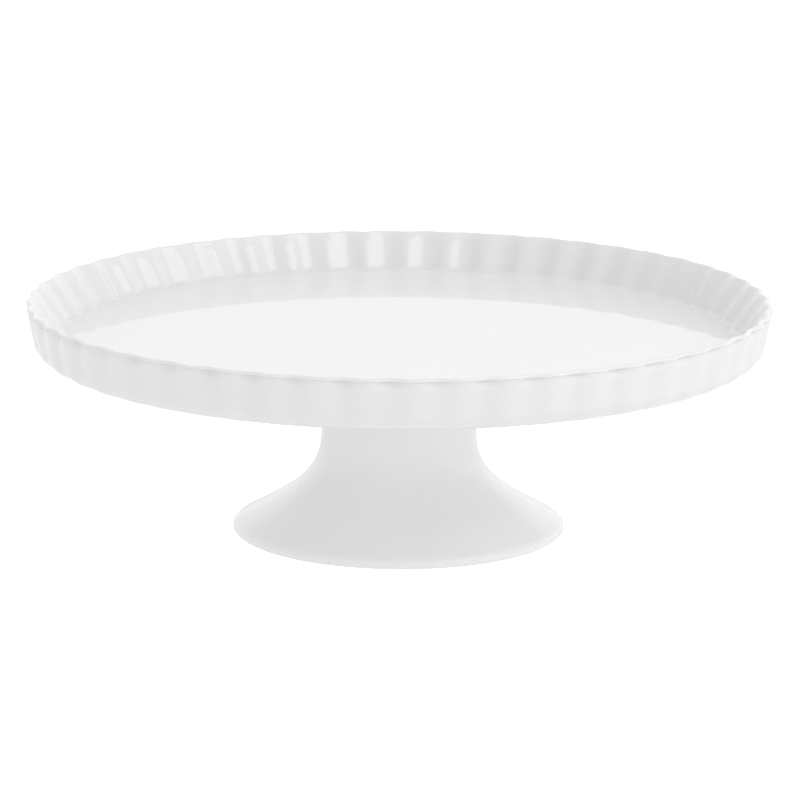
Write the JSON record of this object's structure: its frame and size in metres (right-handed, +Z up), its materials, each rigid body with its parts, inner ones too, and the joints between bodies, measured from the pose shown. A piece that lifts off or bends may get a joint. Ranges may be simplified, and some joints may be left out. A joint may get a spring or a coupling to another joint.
{
  "type": "cake stand",
  "caption": "Round footed cake stand: a shallow flat-floored tray with an upright fluted wall, on a hollow flared pedestal.",
  "frame": {"origin": "on the vertical axis, at the plane that the foot ring rests on", "axes": "+Z up along the axis of the pedestal and tray; X and Y run through flute crests of the round tray"},
  "size_m": [0.3174, 0.3174, 0.1016],
  "materials": {
    "tray_glaze": "white porcelain under a clear gloss glaze",
    "pedestal_glaze": "white porcelain under a clear gloss glaze, left bare on the foot ring",
    "fired_slip": "hand-smoothed porcelain slip under the same clear gloss glaze"
  },
  "bodies": {
    "root": {"fluted_tray": "tray_glaze", "pedestal": "pedestal_glaze", "slip_joint": "fired_slip"}
  },
  "joints": []
}
